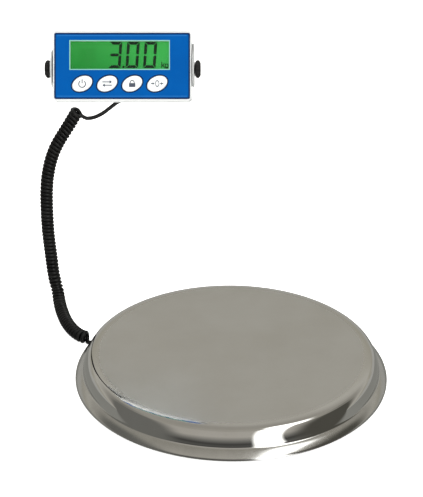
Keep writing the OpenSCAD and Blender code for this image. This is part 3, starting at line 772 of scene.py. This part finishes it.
def bow(bm, cx, cz, r, w, a0, a1, n=22, squeeze=1.0, y0=-14.64, y1=-14.5):
    pts = []
    for rr, order in ((r + w / 2, range(n + 1)), (r - w / 2, range(n, -1, -1))):
        for k in order:
            a = rad(a0 + (a1 - a0) * k / n)
            pts.append((cx + squeeze * rr * math.cos(a), cz + rr * math.sin(a)))
    m = n + 1
    for k in range(n):
        q = [pts[k], pts[k + 1], pts[2 * m - 2 - k], pts[2 * m - 1 - k]]
        slab(bm, q, y0, y1)


def arrow(bm, x0, z0, x1, w, head):
    s = 1 if x1 > x0 else -1
    bar(bm, x0, z0, x1 - s * head, z0, w)
    slab(bm, [(x1, z0), (x1 - s * head, z0 + head * 0.75), (x1 - s * head, z0 - head * 0.75)], -14.64, -14.5)


bm = bmesh.new()
bow(bm, KEY_X, KEY_Z - 0.4, 3.5, 1.0, 125, 415, 28)
bar(bm, KEY_X, KEY_Z + 0.2, KEY_X, KEY_Z + 4.4, 1.0)
add("pictogram_power", bm, M["legend"], "power_key")
bm = bmesh.new()
x = KEY_X + 26
arrow(bm, x - 5.0, KEY_Z + 1.7, x + 5.0, 1.0, 2.5)
arrow(bm, x + 5.0, KEY_Z - 1.7, x - 5.0, 1.0, 2.5)
add("pictogram_unit", bm, M["legend"], "unit_key")
bm = bmesh.new()
x = KEY_X + 52
slab(bm, [(x - 3.3, KEY_Z - 3.6), (x + 3.3, KEY_Z - 3.6), (x + 3.3, KEY_Z + 0.5), (x - 3.3, KEY_Z + 0.5)], -14.64, -14.5)
bow(bm, x, KEY_Z + 1.1, 2.1, 0.95, 0, 180, 18)
for k in (-1, 1):
    bar(bm, x + k * 2.1, KEY_Z + 0.4, x + k * 2.1, KEY_Z + 1.2, 0.95)
add("pictogram_hold", bm, M["legend"], "hold_key")
bm = bmesh.new()
x = KEY_X + 78
bow(bm, x, KEY_Z, 3.0, 1.0, 0, 360, 32, 0.62)
arrow(bm, x - 6.4, KEY_Z, x - 2.7, 1.0, 2.0)
arrow(bm, x + 6.4, KEY_Z, x + 2.7, 1.0, 2.0)
add("pictogram_tare", bm, M["legend"], "tare_key")

# ---- tapered strain relief where the cord leaves the housing
s_all = run(path)
n_boot = next(i for i, s in enumerate(s_all) if s > 10.5 * MM)
boot_path = spline(path[:n_boot + 1], 0.5 * MM)
bm = bmesh.new()
sb = run(boot_path)
radii = []
for s in sb:
    u = s / sb[-1]
    groove = 0.13 * max(0.0, math.sin(2 * math.pi * s / (2.1 * MM))) if 0.1 < u < 0.9 else 0
    radii.append((2.85 - 0.72 * u - groove) * MM)
sweep(bm, boot_path, radii, 20)
boot = add("lead_boot", bm, M["black"], None, 50)
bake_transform(boot)

# ------------------------------------------------------------------ materials of the other CAD nodes
USE = {
    "pan_collar": "steel", "base_plate": "zinc", "rubber_feet": "feet", "foot_screws": "bright_screw",
    "load_cell": "alu", "cell_sealant": "sealant", "cell_spacers": "steel", "cell_bolts": "black_screw",
    "load_spider": "zinc", "spider_pads": "pads", "overload_stops": "bright_screw", "junction_board": "board",
    "board_standoffs": "brass", "terminal_block": "terminal", "cell_cable": "grey_cord", "inner_cord": "cord",
    "base_cord_grip": "black", "face_plate": "face", "window_border": "mint", "display_window": "clear",
    "display_glass": "lcd", "display_digits": "digits", "display_backlight": "diffuser",
    "display_frame": "frame", "main_board": "board", "board_parts": "switch", "sounder": "switch",
    "key_switches": "switch", "side_inserts": "brass", "side_washers": "nylon", "housing_screws": "bright_screw",
    "battery_tray": "tray", "battery_cells": "cell", "battery_contacts": "spring",
    "indicator_cord_gland": "black", "knob_stud_left": "steel", "knob_stud_right": "steel",
    "weighing_pan": "pan", "wall_bracket": "bracket", "front_housing": "housing", "rear_housing": "housing",
    "key_power": "key", "key_unit": "key", "key_hold": "key", "key_tare": "key", "battery_cover": "cover",
    "knob_left": "knob", "knob_right": "knob", "cord_lead": "cord", "cord_coil": "cord", "cord_tail": "cord",
}
for n, o in NODES.items():
    o.data.materials.clear()
    o.data.materials.append(M[USE[n]])

# ------------------------------------------------------------------ floor
bm = bmesh.new()
bmesh.ops.create_grid(bm, x_segments=24, y_segments=24, size=6.0)
me = bpy.data.meshes.new("floor")
bm.to_mesh(me)
bm.free()
floor = bpy.data.objects.new("floor", me)
bpy.context.scene.collection.objects.link(floor)
t = Tree("floor_pale")
c = t.mix(t.span(t.noise(3), 0.3, 0.7), (0.90, 0.90, 0.895, 1), (0.92, 0.92, 0.915, 1))
me.materials.append(t.put(base=c, rough=0.9, emit=(1, 1, 1, 1), glow=0.86))
floor.visible_glossy = False

# a plain round backdrop in the floor's colour, behind the low views; it takes no part in the lighting
bm = bmesh.new()
lathe(bm, [(5.6, -0.4), (5.6, 1.0), (5.6, 5.0)], 96)
me2 = bpy.data.meshes.new("backdrop")
bm.to_mesh(me2)
bm.free()
backdrop = bpy.data.objects.new("backdrop", me2)
bpy.context.scene.collection.objects.link(backdrop)
me2.materials.append(me.materials[0])
for kind in ("glossy", "diffuse", "transmission", "shadow", "volume_scatter"):
    setattr(backdrop, "visible_" + kind, False)

# ------------------------------------------------------------------ light
scene = bpy.context.scene
scene.view_settings.view_transform = "Standard"
scene.view_settings.look = "None"
scene.view_settings.exposure = 0
scene.view_settings.gamma = 1


def soft_box(name, at, to, w, h, power, colour=(1, 1, 1), glossy=False):
    d = bpy.data.lights.new(name, "AREA")
    d.shape = "RECTANGLE"
    d.size, d.size_y = w, h
    d.energy = power
    d.color = colour
    o = bpy.data.objects.new(name, d)
    o.location = at
    o.rotation_euler = (Vector(to) - Vector(at)).to_track_quat("-Z", "Y").to_euler()
    scene.collection.objects.link(o)
    o.visible_glossy = glossy
    return o


soft_box("top_light", (0.0, 0.1, 2.6), (0, 0, 0), 3.2, 3.2, 62)
soft_box("front_light", (-0.5, -2.4, 1.7), (0, 0.1, 0.2), 2.4, 1.8, 26)

w = bpy.data.worlds.new("studio")
scene.world = w
w.use_nodes = True
nt = w.node_tree
bg = nt.nodes["Background"]
tc = nt.nodes.new("ShaderNodeTexCoord")
sep = nt.nodes.new("ShaderNodeSeparateXYZ")
nt.links.new(tc.outputs["Generated"], sep.inputs[0])


def wmath(op, a, b=0.0):
    n = nt.nodes.new("ShaderNodeMath")
    n.operation = op
    for i, v in enumerate((a, b)):
        if isinstance(v, bpy.types.NodeSocket):
            nt.links.new(v, n.inputs[i])
        else:
            n.inputs[i].default_value = v
    return n.outputs[0]


def wramp(value, stops):
    n = nt.nodes.new("ShaderNodeValToRGB")
    e = n.color_ramp.elements
    while len(e) < len(stops):
        e.new(0.5)
    for i, (x, c) in enumerate(stops):
        e[i].position = x
        e[i].color = c if hasattr(c, "__len__") else (c, c, c, 1)
    nt.links.new(value, n.inputs["Fac"])
    return n.outputs["Color"]


def wmix(fac, a, b):
    n = nt.nodes.new("ShaderNodeMix")
    n.data_type = "RGBA"
    for value, socket in ((fac, n.inputs[0]), (a, n.inputs[6]), (b, n.inputs[7])):
        if isinstance(value, bpy.types.NodeSocket):
            nt.links.new(value, socket)
        else:
            socket.default_value = value
    return n.outputs[2]


# height round the object: 0 the horizon behind, 0.25 overhead, 0.5 the horizon in front, then below
turn = wmath("FRACT", wmath("ADD", wmath("DIVIDE", wmath("ARCTAN2", sep.outputs[2], sep.outputs[1]), 2 * math.pi), 1.0))


def deg(a):
    return a / 360


def wspan(value, lo, hi, a=0.0, b=1.0):
    n = nt.nodes.new("ShaderNodeMapRange")
    n.interpolation_type = "SMOOTHSTEP"
    for k, v in (("From Min", lo), ("From Max", hi), ("To Min", a), ("To Max", b)):
        n.inputs[k].default_value = v
    nt.links.new(value, n.inputs["Value"])
    return n.outputs["Result"]


side = sep.outputs[0]


def within(value, lo, hi, soft_lo, soft_hi=None):
    soft_hi = soft_lo if soft_hi is None else soft_hi
    return wmath("MULTIPLY", wspan(value, lo - soft_lo, lo + soft_lo), wspan(value, hi - soft_hi, hi + soft_hi, 1, 0))


def patch(under, x0, x1, t0, t1, colour, soft_x=0.02, soft_t=2.5, soft_x1=None, height=None):
    """Something in the room that the polished steel mirrors: a soft-edged block, side to side and round."""
    fac = wmath("MULTIPLY", within(side, x0, x1, soft_x, soft_x1),
                within(turn if height is None else height, deg(t0), deg(t1), deg(soft_t)))
    return wmix(fac, under, (*colour, 1))


# a plain grey studio: paler behind, darker low in front, where nothing lights the floor's edge
room = wramp(turn, [
    (deg(0), (0.42, 0.415, 0.395, 1)), (deg(18), (0.44, 0.435, 0.41, 1)), (deg(27), (0.38, 0.362, 0.305, 1)),
    (deg(37), (0.50, 0.485, 0.44, 1)), (deg(52), (0.36, 0.345, 0.31, 1)), (deg(90), (0.36, 0.345, 0.305, 1)),
    (deg(130), (0.46, 0.44, 0.40, 1)), (deg(160), (0.47, 0.45, 0.41, 1)), (deg(180), (0.22, 0.215, 0.20, 1)),
    (deg(196), (0.06, 0.059, 0.056, 1)), (deg(216), (0.14, 0.14, 0.13, 1)), (deg(236), (0.29, 0.29, 0.27, 1)),
    (deg(330), (0.27, 0.27, 0.25, 1)),
])
# dark screens to the left and to the right, as a studio hangs beside polished metal
room = patch(room, 0.72, 1.2, 60, 262, (0.085, 0.082, 0.070), 0.12, 14)
room = patch(room, -1.2, -0.66, 60, 262, (0.17, 0.168, 0.156), 0.12, 12)
# one tall soft window, to the right of the camera
room = patch(room, 0.27, 0.57, 90, 238, (2.8, 2.8, 2.76), 0.05, 8, 0.035)
nt.links.new(room, bg.inputs["Color"])
bg.inputs["Strength"].default_value = 1.0
